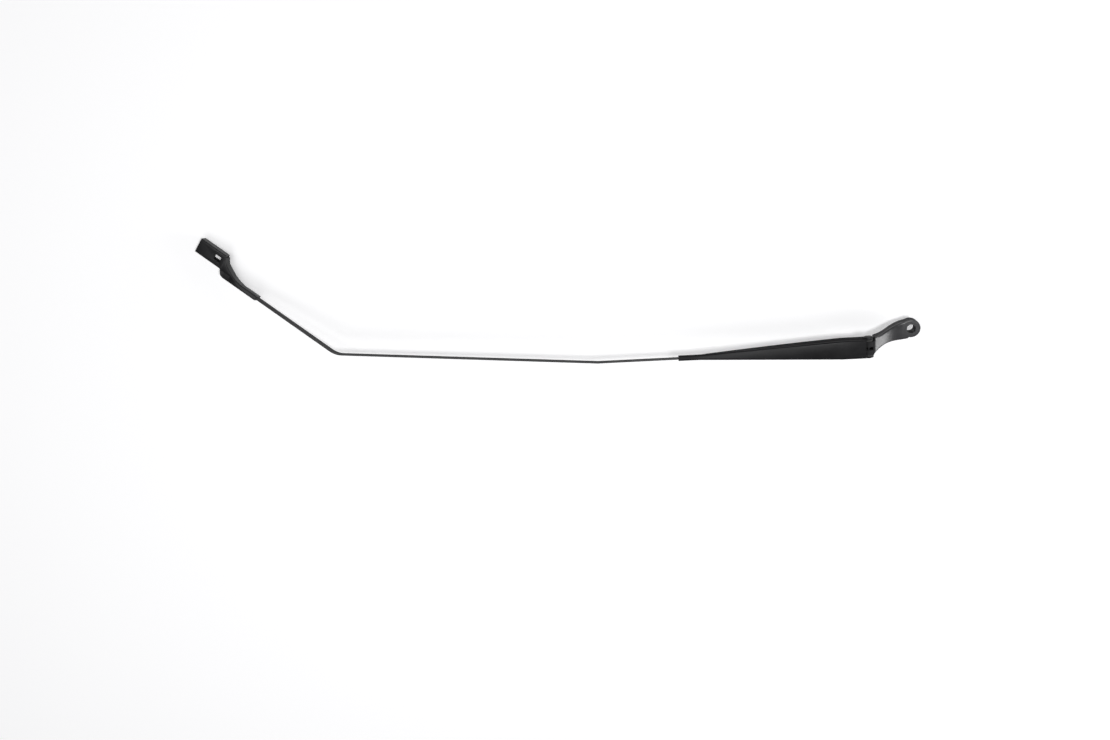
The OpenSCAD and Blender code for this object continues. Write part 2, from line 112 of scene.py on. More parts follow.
def pick(piece, kind, test):
    """Selects what passes the test of a point, of an edge's two ends, or of a face's middle and normal."""
    bpy.ops.mesh.select_mode(type=kind)
    bpy.ops.mesh.select_all(action="DESELECT")
    mesh = bmesh.from_edit_mesh(piece.data)
    mesh.normal_update()
    if kind == "VERT":
        for point in mesh.verts:
            point.select_set(test(point.co))
        mesh.select_flush(True)
    elif kind == "EDGE":
        for edge in mesh.edges:
            ends = [v.co.copy() for v in edge.verts]
            edge.select_set(test(*ends))
    else:
        for face in mesh.faces:
            face.select_set(test(face.calc_center_median(), face.normal))
    mesh.select_flush_mode()
    bmesh.update_edit_mesh(piece.data)


def pull(x=0, y=0, z=0):
    """Extrudes what is selected and moves it."""
    bpy.ops.mesh.extrude_region_move(TRANSFORM_OT_translate={"value": (x, y, z)})


def shift(x=0, y=0, z=0):
    """Moves what is selected."""
    bpy.ops.transform.translate(value=(x, y, z))


def modify(piece, kind, **values):
    """Adds a modifier, sets it and applies it."""
    only(piece)
    modifier = piece.modifiers.new(kind.title(), kind)
    for key, value in values.items():
        setattr(modifier, key, value)
    bpy.ops.object.modifier_apply(modifier=modifier.name)


def cut(piece, cutter, operation="DIFFERENCE"):
    """Cuts one piece with another, or joins them, and removes the cutter."""
    modify(piece, "BOOLEAN", operation=operation, solver="EXACT", object=cutter)
    bpy.data.objects.remove(cutter)


def cross_hole(piece, place, radius, depth, vertices=64):
    """Drills a round hole along Y through a piece."""
    bpy.ops.mesh.primitive_cylinder_add(vertices=vertices, radius=radius, depth=depth, location=place,
                                        rotation=(math.radians(90), 0, 0))
    cut(piece, bpy.context.active_object)


def settle(piece, where, angle=35):
    """Shrinks a finished piece to metres, puts it in its place and smooths its shading."""
    only(piece)
    piece.matrix_world = Matrix.Scale(0.001, 4) @ where
    bpy.ops.object.transform_apply(location=True, rotation=True, scale=True)
    bpy.ops.object.shade_smooth_by_angle(angle=math.radians(angle))
    piece.data.update()
    print(piece.name, "triangles:", sum(len(p.vertices) - 2 for p in piece.data.polygons))


# %% [markdown]
# ## Camera
# The photo was taken from about 1.2 m above the arm, a little to one side. The place and the turn
# of the camera were worked out from the eye's size and from where upright lines run together.

# %% Camera
PICTURE_W, SHIFT = 1110, 0.4
lens = bpy.data.cameras.new("photo_camera")
lens.sensor_width = 36
lens.lens = 32.4324
lens.shift_x, lens.shift_y = -SHIFT / PICTURE_W, SHIFT / PICTURE_W
camera = bpy.data.objects.new("photo_camera", lens)
camera.location = (-0.27118, 0.28958, 1.16140)
camera.rotation_euler = [math.radians(a) for a in (-15.9076, 5.7661, -4.5)]
bpy.context.scene.collection.objects.link(camera)
bpy.context.scene.camera = camera
bpy.context.scene.view_settings.view_transform = "Standard"
print("camera at", tuple(round(v, 3) for v in camera.location))

# %% [markdown]
# ## Floor and light
# The arm lies on a plain white table. The lamps light the floor's own pale colour to about 0.85, and
# a small glow for camera, mirror and glass rays brings it up to white, so it keeps the shadow.
# The main lamp hangs high, a little to the right of the camera: its shadow is then a thin soft band
# along the upper left of each piece. A wide ceiling lamp shows as a sheen along the strip, a fill
# lamp evens the table's near corner, and a low lamp beyond the eye lights the slope of the gooseneck.

# %% Floor
FLOOR_SIZE, FLOOR_GAP = 40, 0.0006


def maths(nodes, links, kind, a, b):
    """One sum on two values."""
    node = nodes.new("ShaderNodeMath")
    node.operation = kind
    for socket, value in zip(node.inputs, (a, b)):
        if isinstance(value, (int, float)):
            socket.default_value = value
        else:
            links.new(value, socket)
    return node.outputs[0]


bpy.ops.object.select_all(action="DESELECT")
bpy.ops.mesh.primitive_plane_add(size=FLOOR_SIZE, location=(-0.4, 0, cad_low.z - FLOOR_GAP))
floor = bpy.context.active_object
floor.name = "floor"
only(floor)
bpy.ops.object.transform_apply(location=True, rotation=True, scale=True)

floor_paint = bpy.data.materials.new("white_table")
floor_paint.use_nodes = True
nodes, links = floor_paint.node_tree.nodes, floor_paint.node_tree.links
table = nodes["Principled BSDF"]
table.inputs["Base Color"].default_value = (0.85, 0.85, 0.86, 1)
table.inputs["Roughness"].default_value = 0.9
table.inputs["Specular IOR Level"].default_value = 0.05
table.inputs["Emission Strength"].default_value = 0.24
seen = nodes.new("ShaderNodeLightPath")
seen_or_mirrored = maths(nodes, links, "MAXIMUM", seen.outputs["Is Camera Ray"],
                         seen.outputs["Is Glossy Ray"])
or_through_glass = maths(nodes, links, "MAXIMUM", seen_or_mirrored, seen.outputs["Is Transmission Ray"])
links.new(or_through_glass, table.inputs["Emission Color"])
floor.data.materials.append(floor_paint)

# %% World and lamps
world = bpy.data.worlds.new("room")
bpy.context.scene.world = world
world.use_nodes = True
room = world.node_tree.nodes["Background"]
room.inputs["Color"].default_value = (1, 1, 1, 1)
room.inputs["Strength"].default_value = 0.16


def lamp(name, place, target, size, power):
    """A flat soft lamp at a place, turned to its target."""
    light = bpy.data.lights.new(name, "AREA")
    light.shape = "RECTANGLE"
    light.size, light.size_y = size
    light.energy = power
    holder = bpy.data.objects.new(name, light)
    holder.location = place
    holder.rotation_euler = (Vector(target) - Vector(place)).to_track_quat("-Z", "Y").to_euler()
    bpy.context.scene.collection.objects.link(holder)


# name, place, target and size in metres, then watts
lamp("main_lamp", (0.19, 0.19, 1.9), (-0.35, 0, 0), (0.3, 0.3), 19)
lamp("ceiling_lamp", (-1.15, 0.48, 1.88), (-0.7, 0.1, 0), (1.0, 1.0), 9)
lamp("fill_lamp", (-1.35, -1.05, 1.9), (-1.1, -0.7, 0), (1.2, 1.2), 11.5)
lamp("low_lamp", (1.0, -0.28, 0.36), (-0.05, -0.02, 0.02), (0.3, 0.4), 6.5)

# %% [markdown]
# ## The strip
# The arm itself is flat steel, 2.8 by 10 mm, standing on edge and bent twice in a press. It could be
# swept along a curve, but a bender works on one straight strip, so this does too: the end face is
# drawn out along each straight run and spun round each bend. Rolled flat steel has soft corners.

# %% Strip
STRIP_T, STRIP_H, STRIP_TAIL, STRIP_EDGE = 2.8, 10.0, 142.7, 0.55
BEND_R, BEND_STEPS, FIRST_BIT = 28.0, 8, 10
HOOK_HOLE, HOOK_HOLE_R = (-146.55, 0, -1.8), 2


def end_face(piece, direction, reach):
    """Selects the end face that looks along a direction, at a reach."""
    pick(piece, "FACE", lambda middle, normal: abs(normal.dot(direction)) > 0.99
         and middle.dot(direction) > reach - 0.01)


strip = start("strip", bpy.ops.mesh.primitive_cube_add, size=1, location=(-STRIP_TAIL - FIRST_BIT / 2, 0, 0),
              scale=(FIRST_BIT, STRIP_T, STRIP_H))
heading = Vector((-1, 0, 0))
here = heading * (STRIP_TAIL + FIRST_BIT)
cut_short = [BEND_R * math.tan(turn / 2) for turn in (TURN_ONE, TURN_TWO)]
for length, turn in ((BEND_ONE - cut_short[0] - STRIP_TAIL - FIRST_BIT, TURN_ONE),
                     (RUN_TWO - sum(cut_short), TURN_TWO),
                     (RUN_THREE - cut_short[1], 0)):
    end_face(strip, heading, here.dot(heading))
    pull(*(heading * length))
    here = here + heading * length
    if turn:
        across = Vector((heading.y, -heading.x, 0))
        middle = here + across * BEND_R
        end_face(strip, heading, here.dot(heading))
        bpy.ops.mesh.spin(steps=BEND_STEPS, angle=turn, center=middle, axis=(0, 0, 1))
        turned = Matrix.Rotation(-turn, 3, "Z")
        here = middle + turned @ (here - middle)
        heading = turned @ heading
bpy.ops.mesh.select_all(action="SELECT")
bpy.ops.mesh.normals_make_consistent(inside=False)
bpy.ops.object.mode_set(mode="OBJECT")
print("strip ends at", [round(v, 1) for v in here])

# %% Hole for the spring's hook, soft corners
cross_hole(strip, HOOK_HOLE, HOOK_HOLE_R, depth=6, vertices=40)
modify(strip, "BEVEL", width=STRIP_EDGE, segments=3, limit_method="ANGLE", angle_limit=math.radians(40))
settle(strip, in_plane)

# %% [markdown]
# ## The channel
# The cover over the spring is one blank folded into a U, which narrows until its sides close round
# the strip. Folding a flat blank in Blender is slow to steer, so the U is drawn out from station to
# station instead: each new section is drawn forward, then scaled. The folds are bevelled while the
# U still stands straight, and only then are the sections turned to the strip's lean. Solidify
# gives the sheet its 1.6 mm last, so that the wall is even everywhere.

# %% Channel, drawn out
SHEET, FOLD_R, HEM, HEM_R = 1.6, 1.9, 2.68, 1.1
WIDTH, DEPTH, REAR = 22.0, 17.0, -53.1
TAPERED_W, TAPERED_D, NECK_W, NECK_D = 6.46, 12.96, 6.16, 13.2
FULL_END, NECK, NECK_END = -79.3, -238.0, -265.6
FOOT = TOP - 13
SLIDE_Y, SLIDE_Z = -1.5, -0.5
shares = [0.04, 0.15, 0.3, 0.45, 0.6, 0.7, 0.8, 0.88, 0.94, 1]
sections = [(FULL_END + (NECK - FULL_END) * k, WIDTH + (TAPERED_W - WIDTH) * k,
             DEPTH + (TAPERED_D - DEPTH) * k, k) for k in shares]
sections += [(NECK - 1.6, NECK_W, NECK_D, 1), (NECK_END, NECK_W, NECK_D, 1)]
channel = start("channel", bpy.ops.mesh.primitive_cube_add, size=1,
                location=((REAR + FULL_END) / 2, 0, TOP - DEPTH / 2), scale=(REAR - FULL_END, WIDTH, DEPTH))
pick(channel, "FACE", lambda middle, normal: normal.z < -0.9 or abs(normal.x) > 0.9)
bpy.ops.mesh.delete(type="FACE")
x, width, depth = FULL_END, WIDTH, DEPTH
for next_x, next_width, next_depth, share in sections:
    pick(channel, "EDGE", lambda a, b: abs(a.x - x) < 0.01 and abs(b.x - x) < 0.01)
    pull(x=next_x - x)
    bpy.ops.transform.resize(value=(1, next_width / width, next_depth / depth),
                             center_override=(next_x, 0, TOP))
    x, width, depth = next_x, next_width, next_depth
for side in (-1, 1):
    pick(channel, "EDGE", lambda a, b: max(a.x, b.x) < NECK - 1 and max(a.z, b.z) < FOOT and side * a.y > 0
         and abs(a.x - b.x) > 1)
    pull(y=-side * HEM)
print("channel sections:", len(sections) + 1)

# %% Channel, folded and turned
pick(channel, "EDGE", lambda a, b: abs(a.z - TOP) < 0.01 and abs(b.z - TOP) < 0.01 and abs(a.x - b.x) > 1)
bpy.ops.mesh.bevel(offset=FOLD_R, segments=5, affect="EDGES")
pick(channel, "EDGE", lambda a, b: max(a.x, b.x) < NECK - 1 and abs(a.z - b.z) < 0.01 and abs(a.x - b.x) > 1
     and a.z < FOOT and min(abs(a.y), abs(b.y)) > 1)
bpy.ops.mesh.bevel(offset=HEM_R, segments=3, affect="EDGES")
for x, width, depth, k in sections:
    pick(channel, "VERT", lambda point: abs(point.x - x) < 0.6)
    bpy.ops.transform.rotate(value=LEAN * k * k, orient_axis="X", center_override=(x, 0, STRIP_Z))
    shift(y=SLIDE_Y * k * k, z=SLIDE_Z * k * k)
bpy.ops.mesh.select_all(action="SELECT")
bpy.ops.mesh.normals_make_consistent(inside=False)
bpy.ops.object.mode_set(mode="OBJECT")
modify(channel, "SOLIDIFY", thickness=SHEET, offset=-1, use_even_offset=True)
print("channel box:", [round(v, 1) for v in channel.dimensions])

# %% [markdown]
# ## The channel's ears
# The two side walls run on past the top face as round ears, which hold the hinge pin. Each starts
# as a disc round the pin. Its back is drawn into the wall and spread to the wall's height.

# %% Ears
EAR_R, EAR_RUN, EAR_END = 5.8, 6, 6.5
EAR_GROW, EAR_GROW_FROM = 1.23, 27.9
PIN_HOLE_R, CHANNEL_EDGE = 3.03, 0.3
ears = start("ears", bpy.ops.mesh.primitive_cylinder_add, vertices=48, radius=EAR_R, depth=SHEET - 0.02,
             location=(HINGE.x, (WIDTH - SHEET) / 2, HINGE.z), rotation=(math.radians(90), 0, 0))
pick(ears, "FACE", lambda middle, normal: normal.x < -0.05)
pull(x=-EAR_RUN)
pick(ears, "VERT", lambda point: point.x < HINGE.x - EAR_R - 0.1)
bpy.ops.transform.resize(value=(0, 1, EAR_GROW), center_override=(HINGE.x - EAR_END, 0, EAR_GROW_FROM))
bpy.ops.object.mode_set(mode="OBJECT")
only(ears)
bpy.ops.object.duplicate()
far_ear = bpy.context.active_object
far_ear.data.transform(Matrix.Translation((0, SHEET - WIDTH, 0)))
cut(channel, ears, "UNION")
cut(channel, far_ear, "UNION")
cross_hole(channel, (HINGE.x, 0, HINGE.z), PIN_HOLE_R, depth=30, vertices=48)
modify(channel, "BEVEL", width=CHANNEL_EDGE, segments=2, limit_method="ANGLE", angle_limit=math.radians(50))
settle(channel, Matrix.Translation((0, HINGE.y, 0)))

# %% [markdown]
# ## The blade clip
# The clip is one pressing too: a plate with two flanges and a window for the adapter's button, a
# twisted shoulder, and a socket closed round the strip. A box per part would show joints that the
# sheet doesn't have. So the plate is a plane whose edges are drawn out: down for the flanges, back
# for the shoulder and the socket. The flanges end in lips turned inward, and a small step runs down
# beside the shoulder's ridge. The folds are bevelled together, and Solidify adds the sheet.

# %% Plate and shoulder
CLIP_T, CLIP_FOLD, CLIP_EDGE = 1.5, 1.3, 0.25
PLATE_LEN, PLATE_W, FLANGE, PLATE_ROLL = 38.2, 19.0, 10.4, math.radians(10)
INNER_W, LIP, FLANGE_TRIM = 16.4, 5.8, 1.2
PLATE_FROM = Vector((-176.5, 4.9, 8.78))
SOCKET_END, SOCKET_START, SOCKET_HEM = -172.5, -120.5, 2.5
NEAR_HEM_FROM, FAR_HEM_FROM, RIDGE_FOLD_TO = -168, -152, -161
HALF_W, HALF_H, SKIN = 2.98, 6.58, 0.1
RIDGE_IN, RIDGE_UP, WALL_PAST_RIDGE = 0.3, 2.1, 0.4
STEP_OUT, STEP_DOWN, STEP_FADED, STEP_FADE = 1.1, 1.3, -150, 12
WINDOW_LEN, WINDOW_W, WINDOW_R, WINDOW_FROM = 8.4, 7.3, 0.8, 4.7
# a new edge is first drawn this far, then each of its points goes to its place
NUDGE, DROP = 0.7, 3
clip = start("clip", bpy.ops.mesh.primitive_plane_add, size=1, location=(-PLATE_LEN / 2, PLATE_W / 2, 0))
bpy.ops.transform.resize(value=(PLATE_LEN, PLATE_W, 1), center_override=(-PLATE_LEN / 2, PLATE_W / 2, 0))
pick(clip, "EDGE", lambda a, b: max(a.y, b.y) < 0.01 or min(a.y, b.y) > PLATE_W - 0.01)
pull(z=-FLANGE)
for side_y, inward in ((0, LIP), (PLATE_W, -LIP)):
    pick(clip, "EDGE", lambda a, b: abs(a.y - side_y) + abs(b.y - side_y) < 0.01
         and max(a.z, b.z) < 0.01 - FLANGE)
    pull(y=inward)
pick(clip, "VERT", lambda point: point.x > -0.01 and point.z < 0.01 - FLANGE and point.y > PLATE_W / 2)
shift(x=-FLANGE_TRIM)
bpy.ops.mesh.select_all(action="SELECT")
bpy.ops.mesh.bisect(plane_co=(0, INNER_W, 0), plane_no=(0, 1, 0))
bpy.ops.mesh.select_all(action="SELECT")
bpy.ops.transform.rotate(value=-PLATE_ROLL, orient_axis="X", center_override=(0, 0, 0))
shift(*PLATE_FROM)
print("plate points:", len(bmesh.from_edit_mesh(clip.data).verts))

# stations back along the shoulder: far edge's share of the way out, rise of the ridge, wall depth
rows = [(-176.2, 0.872, 1, 10.4), (-174.4, 0.68, 1, 10.4), (-172.5, 0.55, 1, 10.4), (-165.5, 0.35, 1, 10.4),
        (-158.5, 0.17, 0.7, 10.8), (-151.5, 0.05, 0.3, 12.0), (-143.5, 0, 0.05, 12.1)]
# the near edge's place at the first stations, where it runs in from the plate
LEAD_IN = {-176.3: 4.2, -174.4: 0.8, -172.5: -1.9}
PLATE_FAR = PLATE_FROM.y + PLATE_W * math.cos(PLATE_ROLL)


def between(x):
    """Share, rise and depth of the shoulder at x, from the rows before and after it."""
    for (x0, *a), (x1, *b) in zip(rows, rows[1:]):
        if x <= x1 + 1e-6:
            t = min(max((x - x0) / (x1 - x0), 0), 1)
            return [p + (q - p) * t for p, q in zip(a, b)]
    return rows[-1][1:]


def section(x):
    """Near edge, ridge, far edge and far foot of the shoulder at x."""
    share, rise, depth = between(x)
    far = HALF_W + SKIN + (PLATE_FAR - HALF_W) * share
    ridge = min(PLATE_FROM.y + RIDGE_IN, far - CLIP_T - WALL_PAST_RIDGE)
    ridge_z = HALF_H + SKIN + RIDGE_UP * rise
    lean = PLATE_ROLL * rise
    far_z = ridge_z + (far - ridge) * math.tan(lean)
    near = LEAD_IN.get(round(x, 1), -HALF_W)
    near_z = HALF_H + SKIN + (ridge_z - HALF_H - SKIN) * (near + HALF_W) / (ridge + HALF_W)
    return (Vector((x, near, near_z)), Vector((x, ridge, ridge_z)), Vector((x, far, far_z)),
            Vector((x, far + depth * math.sin(lean), far_z - depth * math.cos(lean))))


def move_to(old, new):
    """Moves the one point at a place to a new place."""
    pick(clip, "VERT", lambda point: (point - old).length < 0.02)
    shift(*(new - old))


stations = [-176.3, -174.4, -172.5, -169, -165.5, -162, -158.5, -155, -151.5, -147.5, -143.5]
turn = Matrix.Rotation(PLATE_ROLL, 4, "X")
chain = [PLATE_FROM, PLATE_FROM + turn @ Vector((0, INNER_W, 0))]
for x in stations:
    pick(clip, "EDGE", lambda a, b: {tuple(round(c, 1) for c in a), tuple(round(c, 1) for c in b)}
         == {tuple(round(c, 1) for c in p) for p in chain})
    pull(x=x - chain[0].x)
    moved = [Vector((x, p.y, p.z)) for p in chain]
    chain = list(section(x)[1:3])
    for old, new in zip(moved, chain):
        move_to(old, new)


def on_line(index):
    """A test for points on one line of the shoulder: 0 is the near edge, 1 the ridge, 2 the far edge."""
    places = {round(x, 1): section(x)[index] for x in stations}

    def is_on_it(point):
        place = places.get(round(point.x, 1))
        return place is not None and (point - place).length < 0.05

    return is_on_it


on_near, on_ridge, on_far = on_line(0), on_line(1), on_line(2)
pick(clip, "EDGE", lambda a, b: on_far(a) and on_far(b))
pull(z=-DROP)
for x in stations:
    far_edge, far_foot = section(x)[2:]
    move_to(far_edge - Vector((0, 0, DROP)), far_foot)
print("shoulder stations:", len(stations))

# %% Socket, round the strip
# the near side starts as a strip of sheet beside the ridge, from the plate's end to the socket
step_depths = [STEP_DOWN * min(1, max(0, (STEP_FADED - x) / STEP_FADE)) for x in stations]
steps_down = [(section(x)[1] - Vector((0, STEP_OUT, depth)), section(x)[0])
              for x, depth in zip(stations, step_depths)]
pick(clip, "EDGE", lambda a, b: on_ridge(a) and on_ridge(b))
pull(y=-NUDGE)
for x, (shelf, near) in zip(stations, steps_down):
    move_to(section(x)[1] - Vector((0, NUDGE, 0)), shelf)
shelf_line = [shelf for shelf, near in steps_down]
pick(clip, "EDGE", lambda a, b: all(any((p - q).length < 0.03 for q in shelf_line) for p in (a, b)))
pull(y=-NUDGE)
for x, (shelf, near) in zip(stations, steps_down):
    move_to(shelf - Vector((0, NUDGE, 0)), near)
end_x = stations[-1]
pick(clip, "EDGE", lambda a, b: abs(a.x - end_x) < 0.02 and abs(b.x - end_x) < 0.02)
pull(x=SOCKET_START - end_x)
pick(clip, "VERT", lambda point: abs(point.x - SOCKET_START) < 0.02 and point.z > 5)
bpy.ops.transform.resize(value=(1, 1, 0), center_override=(SOCKET_START, 0, HALF_H + SKIN))
pick(clip, "EDGE", lambda a, b: abs(a.x - b.x) > 1 and all(on_near(p) or p.y < 0.02 - HALF_W for p in (a, b)))
pull(z=-2 * HALF_H - SKIN)
pick(clip, "VERT", lambda point: point.x > SOCKET_START - 0.02 and point.z < 0 and point.y > 0)
bpy.ops.transform.resize(value=(1, 1, 0), center_override=(SOCKET_START, 0, -HALF_H))
for side, back_to in ((-1, NEAR_HEM_FROM), (1, FAR_HEM_FROM)):
    pick(clip, "EDGE", lambda a, b: max(a.z, b.z) < -5 and side * a.y > 0 and side * b.y > 0
         and abs(a.x - b.x) > 1 and min(a.x, b.x) > back_to)
    pull(y=-side * SOCKET_HEM)
print("clip faces before the folds:", len(bmesh.from_edit_mesh(clip.data).faces))

# %% Folds, sheet and window
plate_folds = [PLATE_FROM + turn @ Vector((0, y, z)) for y in (0, PLATE_W) for z in (0, -FLANGE)]


def on_fold(point):
    """True on the plate's folds and lips, the front of the ridge, the far fold and the near fold."""
    if point.x < PLATE_FROM.x + 0.02:
        return any(abs(point.y - p.y) < 0.05 and abs(point.z - p.z) < 0.05 for p in plate_folds)
    if point.x > end_x + 0.1:
        return point.z > 5 and (point.y < 0 or point.y > HALF_W)
    return (on_far(point) or (point.x < RIDGE_FOLD_TO and on_ridge(point))
            or (on_near(point) and point.x > SOCKET_END - 0.1))


def along(a, b):
    """True for an edge that runs along the clip."""
    return abs(a.x - b.x) > 0.15 and abs(a.y - b.y) < 4


pick(clip, "EDGE", lambda a, b: along(a, b) and on_fold(a) and on_fold(b) and abs(a.z - b.z) < 2
     and (min(a.z, b.z) > 5 or max(a.x, b.x) < PLATE_FROM.x + 0.02))
bpy.ops.mesh.bevel(offset=CLIP_FOLD, segments=4, affect="EDGES")
bpy.ops.mesh.select_all(action="SELECT")
bpy.ops.mesh.normals_make_consistent(inside=False)
bpy.ops.object.mode_set(mode="OBJECT")
modify(clip, "SOLIDIFY", thickness=CLIP_T, offset=-1, use_even_offset=True)
window = start("window", bpy.ops.mesh.primitive_cube_add, size=1,
               location=(-WINDOW_FROM - WINDOW_LEN / 2, PLATE_W / 2, 0), scale=(WINDOW_LEN, WINDOW_W, 8))
pick(window, "EDGE", lambda a, b: abs(a.z - b.z) > 1)
bpy.ops.mesh.bevel(offset=WINDOW_R, segments=4, affect="EDGES")
bpy.ops.object.mode_set(mode="OBJECT")
window.data.transform(Matrix.Translation(PLATE_FROM) @ turn)
cut(clip, window)
modify(clip, "BEVEL", width=CLIP_EDGE, segments=2, limit_method="ANGLE", angle_limit=math.radians(50))
settle(clip, on_last_run, 40)

# %% [markdown]
# ## The cast head
# The head is a zinc die casting: an eye on the spindle, a gooseneck that climbs to the hinge, and a
# slotted knuckle. A die casting has soft blends where its forms meet, so the forms are built as
# overlapping solids, fused by a voxel remesh and smoothed. The bore, the pin holes and the slot are
# machined, so they are cut afterwards and keep crisp edges.

# %% Gooseneck, drawn out
NECK_FROM, NECK_EDGE = -47.8, 1.5
HOLLOW_FROM, HOLLOW_WALL, HOLLOW_ROOF, HOLLOW_DROP = -38.9, 3, 4, 8
# stations from the hinge to the eye: x, left side, right side, top, foot
neck_rows = [
    (-44.0, -9.0, -24.2, 27.7, 10.0), (-43.2, -8.9, -23.8, 27.4, 10.2), (-42.8, -5.3, -23.2, 27.1, 10.4),
    (-41.5, -4.7, -22, 26.3, 10.6), (-38.6, -4, -20, 24.6, 10), (-34, -2.5, -17.35, 21.9, 8.5),
    (-28.4, 0.1, -14.9, 19, 6), (-22.4, 3.1, -13.65, 16.6, 3.3), (-16.2, 5.8, -12.95, 14.9, 1.4),
    (-10, 7.9, -12.5, 14.0, 0.6), (-3, 9.4, -11.2, 13.9, 0.3)]


def eased(rows, parts=4):
    """Adds rows between the rows on smooth curves through them, from the third row on."""
    result = rows[:2]
    for k in range(2, len(rows) - 1):
        before, a, b, after = rows[max(k - 1, 2)], rows[k], rows[k + 1], rows[min(k + 2, len(rows) - 1)]
        for step in range(parts):
            t = step / parts
            result.append(tuple(0.5 * (2 * q + (r - p) * t + (2 * p - 5 * q + 4 * r - w) * t * t
                                       + (3 * q - p - 3 * r + w) * t ** 3)
                                for p, q, r, w in zip(before, a, b, after)))
    return result + rows[-1:]


def draw_neck(name, rows, first_x, inset, roof, drop):
    """Draws a cube's end face out along the gooseneck's stations, set in at the sides and the top."""
    x, left, right, top, foot = rows[0]
    left, right, top, foot = left - inset, right + inset, top - roof, foot - drop
    piece = start(name, bpy.ops.mesh.primitive_cube_add, size=1,
                  location=((first_x + x) / 2, (left + right) / 2, (top + foot) / 2),
                  scale=(x - first_x, left - right, top - foot))
    for next_x, next_left, next_right, next_top, next_foot in rows[1:]:
        next_left, next_right = next_left - inset, next_right + inset
        next_top, next_foot = next_top - roof, next_foot - drop
        pick(piece, "FACE", lambda middle, normal: abs(middle.x - x) < 0.01 and abs(normal.x) > 0.9)
        pull(next_x - x, (next_left + next_right - left - right) / 2, (next_top + next_foot - top - foot) / 2)
        wider, taller = (next_left - next_right) / (left - right), (next_top - next_foot) / (top - foot)
        bpy.ops.transform.resize(value=(1, wider, taller), center_override=(
            next_x, (next_left + next_right) / 2, (next_top + next_foot) / 2))
        x, left, right, top, foot = next_x, next_left, next_right, next_top, next_foot
    return piece


head = draw_neck("cast_head", eased(neck_rows), NECK_FROM, 0, 0, 0)
pick(head, "EDGE", lambda a, b: abs(a.x - b.x) > 1 and min(a.z, b.z) > 13.9)
bpy.ops.mesh.bevel(offset=NECK_EDGE, segments=3, affect="EDGES")
bpy.ops.object.mode_set(mode="OBJECT")
hollow = draw_neck("hollow", neck_rows[4:10], HOLLOW_FROM, HOLLOW_WALL, HOLLOW_ROOF, HOLLOW_DROP)
bpy.ops.object.mode_set(mode="OBJECT")
cut(head, hollow)
print("gooseneck box:", [round(v, 1) for v in head.dimensions])

# %% Eye, knuckle and lug
EYE_R, EYE_TOP_EDGE, EYE_FOOT_EDGE = 10.4, 0.9, 1.4
KNUCKLE_R, LUG_R, LUG_W = 6.6, 5, 16.8
TO_LINK_X, TO_LINK_Z = 3.5, -8.5
VOXEL, SOFTENING = 0.42, 12
eye = start("eye", bpy.ops.mesh.primitive_cylinder_add, vertices=96, radius=EYE_R, depth=EYE_HEIGHT,
            location=(0, 0, EYE_HEIGHT / 2))
for at_foot, size in ((False, EYE_TOP_EDGE), (True, EYE_FOOT_EDGE)):
    pick(eye, "EDGE", lambda a, b: abs(a.z - b.z) < 0.01 and (a.z < 1) == at_foot)
    bpy.ops.mesh.bevel(offset=size, segments=4, affect="EDGES")
bpy.ops.object.mode_set(mode="OBJECT")
solids = [eye]
for radius, dx, dz in ((KNUCKLE_R, 0, 0), (LUG_R, TO_LINK_X, TO_LINK_Z)):
    bpy.ops.object.select_all(action="DESELECT")
    bpy.ops.mesh.primitive_cylinder_add(vertices=64, radius=radius, depth=LUG_W,
                                        location=(HINGE.x + dx, HINGE.y, HINGE.z + dz),
                                        rotation=(math.radians(90), 0, 0))
    solids.append(bpy.context.active_object)
web = start("web", bpy.ops.mesh.primitive_cube_add, size=1, scale=(2 * LUG_R, LUG_W, -TO_LINK_Z),
            location=(HINGE.x + TO_LINK_X / 2, HINGE.y, HINGE.z + TO_LINK_Z / 2))
bpy.ops.object.mode_set(mode="OBJECT")
solids.append(web)
bpy.ops.object.select_all(action="DESELECT")
for solid in solids:
    solid.select_set(True)
head.select_set(True)
bpy.context.view_layer.objects.active = head
bpy.ops.object.join()
modify(head, "REMESH", mode="VOXEL", voxel_size=VOXEL)
modify(head, "SMOOTH", factor=0.5, iterations=SOFTENING)
print("cast head, fused:", len(head.data.polygons), "faces")

# %% Machined bore, holes and slot
BORE_R, BUSH_HOLE_R, LINK_HOLE_R, SLOT_W = 4.9, 4.17, 2.42, 3.6
bore = start("bore", bpy.ops.mesh.primitive_cylinder_add, vertices=96, radius=BORE_R, depth=EYE_HEIGHT + 4,
             location=(0, 0, EYE_HEIGHT / 2))
bpy.ops.object.mode_set(mode="OBJECT")
mouth = start("mouth", bpy.ops.mesh.primitive_cone_add, vertices=96, radius1=BORE_R - 0.3,
              radius2=BORE_R + 0.9, depth=1.2, location=(0, 0, EYE_HEIGHT))
bpy.ops.object.mode_set(mode="OBJECT")
cut(head, bore)
cut(head, mouth)
cross_hole(head, HINGE, BUSH_HOLE_R, depth=20)
cross_hole(head, HINGE + Vector((TO_LINK_X, 0, TO_LINK_Z)), LINK_HOLE_R, depth=20)
# the slot reaches further forward low down, where the link swings: its front and top from the hinge
for front, top in ((9.1, -2.4), (4.5, 20)):
    bpy.ops.mesh.primitive_cube_add(size=1, location=(HINGE.x + front - 15, HINGE.y, HINGE.z + top - 20),
                                    scale=(30, SLOT_W, 40))
    cut(head, bpy.context.active_object)
settle(head, in_place, 40)

# %% [markdown]
# ## Hinge pin
# The pin is a rivet: it has a wide forged head on the far side, goes through both ears, and is spun
# over on the near side into a low head with a shallow ring. Each end face is drawn out in small
# steps and scaled at each step, like a turned profile.

# %% Hinge pin
PIN_R, PIN_LEN = 3, 22
pin = start("rivet_pin", bpy.ops.mesh.primitive_cylinder_add, vertices=64, radius=PIN_R, depth=PIN_LEN,
            location=tuple(HINGE), rotation=(math.radians(90), 0, 0))
